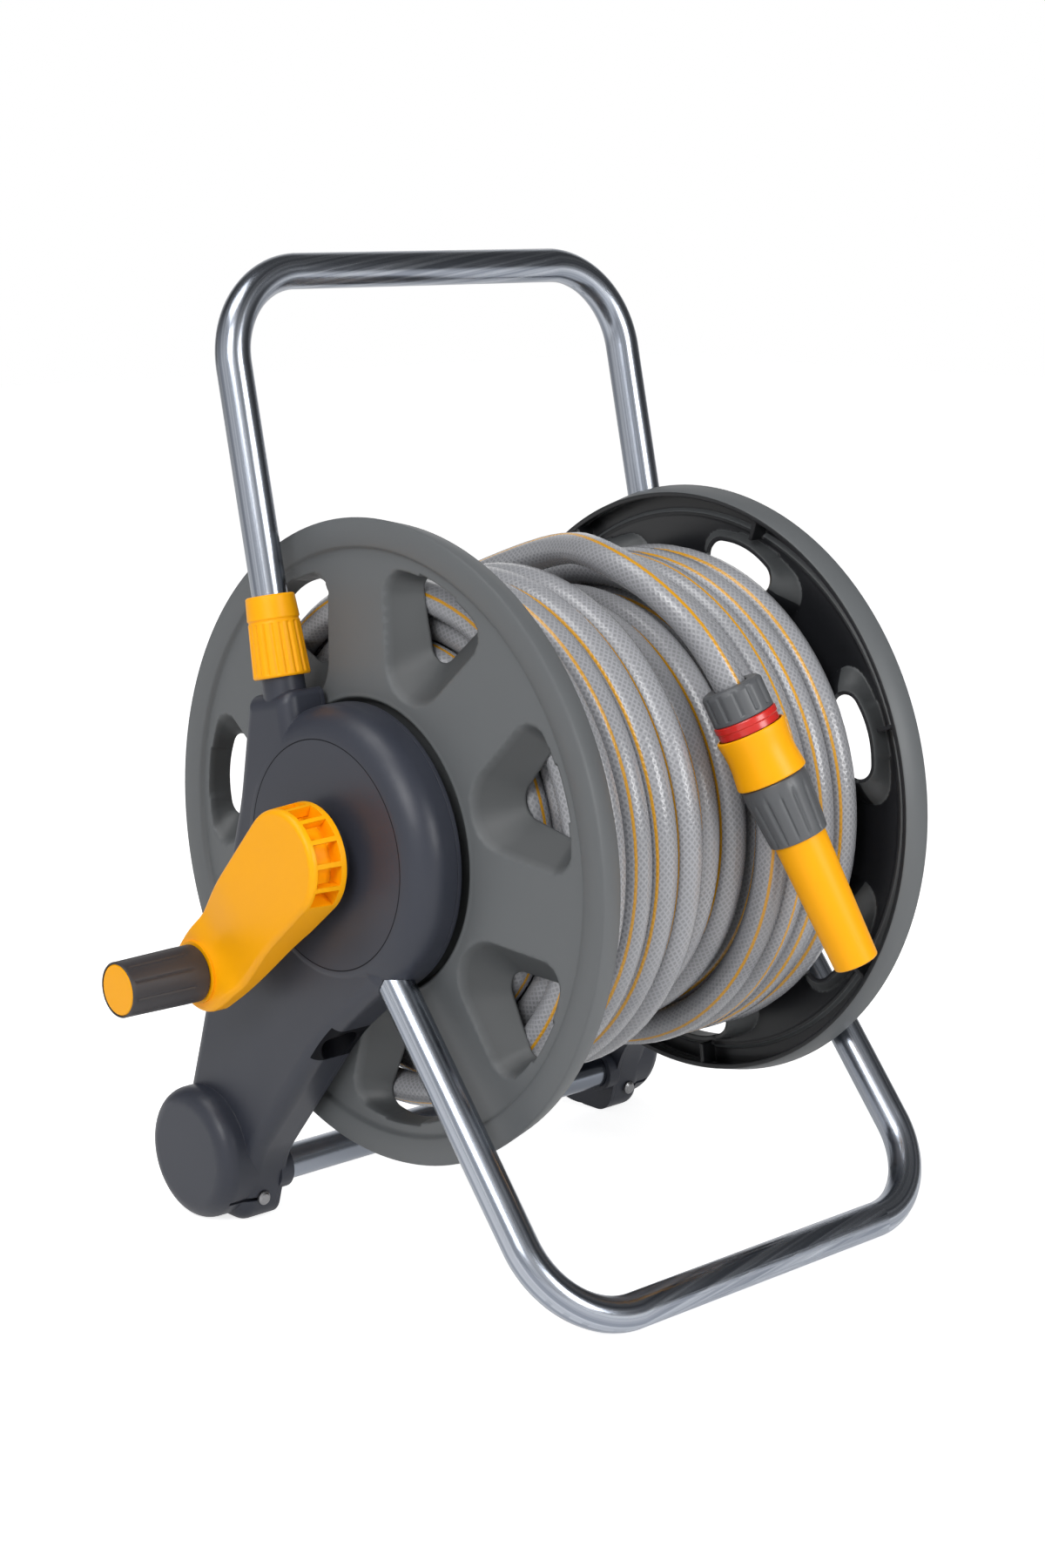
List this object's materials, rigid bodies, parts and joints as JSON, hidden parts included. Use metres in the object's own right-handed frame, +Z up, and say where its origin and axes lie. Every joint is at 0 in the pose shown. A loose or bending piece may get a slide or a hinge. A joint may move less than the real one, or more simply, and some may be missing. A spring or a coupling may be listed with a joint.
{
  "type": "garden hose reel",
  "caption": "Free-standing garden hose reel: bent tube handle and front leg, dark plastic side panels, grey drum wound with braided hose, yellow hand crank and spray nozzle.",
  "frame": {"origin": "on the floor under the middle of the reel's box, measured without the hose and its fittings", "axes": "X along the drum's axle with the crank at -X and the water inlet at +X, -Y towards the front leg, Z up"},
  "size_m": [0.433, 0.3618, 0.5242],
  "materials": {
    "zinc_tube": "bright zinc plating, drawn along the tube",
    "panel_plastic": "fine matte grain, anthracite",
    "yellow_plastic": "smooth, slightly glossy, yellow-orange",
    "drum_plastic": "fine matte grain, mid grey",
    "bearing_plastic": "smooth, black",
    "screw_steel": "zinc plated",
    "inlet_plastic": "smooth, dark grey",
    "seal_rubber": "smooth, black",
    "grip_plastic": "smooth, dark warm grey",
    "hose_wall": "clear skin over a light grey braid with thin yellow stripes",
    "fitting_grey": "smooth, dark grey",
    "ring_red": "smooth, red"
  },
  "bodies": {
    "frame": {"front_leg_tube": "zinc_tube", "rear_crossbar": "zinc_tube", "side_panel_right": "panel_plastic", "side_panel_left": "panel_plastic", "back_cover_right": "panel_plastic", "back_cover_left": "panel_plastic", "clamp_sleeve_left": "panel_plastic", "clamp_sleeve_right": "panel_plastic", "bearing_bush_left": "bearing_plastic", "bearing_bush_right": "bearing_plastic", "cover_screws": "screw_steel", "leg_screws": "screw_steel", "foot_screws": "screw_steel", "inlet_connector": "inlet_plastic", "inlet_seal": "seal_rubber"},
    "drum": {"drum_flange_right": "drum_plastic", "drum_flange_left": "drum_plastic", "drum_barrel": "drum_plastic", "drive_spindle": "bearing_plastic", "water_spindle": "bearing_plastic", "spindle_o_rings": "seal_rubber", "hub_screws": "screw_steel", "barrel_screws": "screw_steel", "hose_elbow": "bearing_plastic", "elbow_nut": "bearing_plastic", "crank_arm": "yellow_plastic", "crank_pin": "screw_steel", "grip_pin": "screw_steel", "hose_core": "hose_wall", "hose_outer_layer": "hose_wall", "hose_end": "hose_wall", "connector_nut": "fitting_grey", "connector_core": "bearing_plastic", "connector_lock_ring": "ring_red", "nozzle_stem": "bearing_plastic", "nozzle_seal": "seal_rubber", "nozzle_grip": "fitting_grey"},
    "grip": {"crank_grip": "grip_plastic", "grip_cap": "yellow_plastic"},
    "handle": {"handle_tube": "zinc_tube", "handle_plugs": "panel_plastic"},
    "collar_left": {"collar_left": "yellow_plastic"},
    "collar_right": {"collar_right": "yellow_plastic"},
    "sleeve": {"connector_sleeve": "yellow_plastic"},
    "nozzle": {"nozzle_tube": "yellow_plastic"}
  },
  "joints": [
    {"name": "drum_spin", "type": "hinge", "parent": "frame", "child": "drum", "pos_m": [0, 0.00211, 0.224], "axis": [1, 0, 0], "continuous": true},
    {"name": "grip_spin", "type": "hinge", "parent": "drum", "child": "grip", "pos_m": [-0.1925, 0.07381, 0.1528], "axis": [1, 0, 0], "continuous": true},
    {"name": "handle_slide", "type": "slide", "parent": "frame", "child": "handle", "axis": [0, 0.2215, 0.9751], "range_m": [-0.095, 0]},
    {"name": "collar_left_twist", "type": "hinge", "parent": "frame", "child": "collar_left", "pos_m": [-0.1225, 0.05229, 0.30858], "axis": [0, 0.2215, 0.9751], "range_deg": [0, 90]},
    {"name": "collar_right_twist", "type": "hinge", "parent": "frame", "child": "collar_right", "pos_m": [0.1595, 0.05229, 0.30858], "axis": [0, 0.2215, 0.9751], "range_deg": [0, 90]},
    {"name": "sleeve_pull", "type": "slide", "parent": "drum", "child": "sleeve", "axis": [-0.2688, 0.331, 0.9045], "range_m": [0, 0.004], "stiffness_N_per_m": 600, "springref_m": -0.003},
    {"name": "nozzle_twist", "type": "hinge", "parent": "drum", "child": "nozzle", "pos_m": [0.0276, -0.12599, 0.3095], "axis": [0.2688, -0.331, -0.9045], "range_deg": [0, 270]}
  ]
}
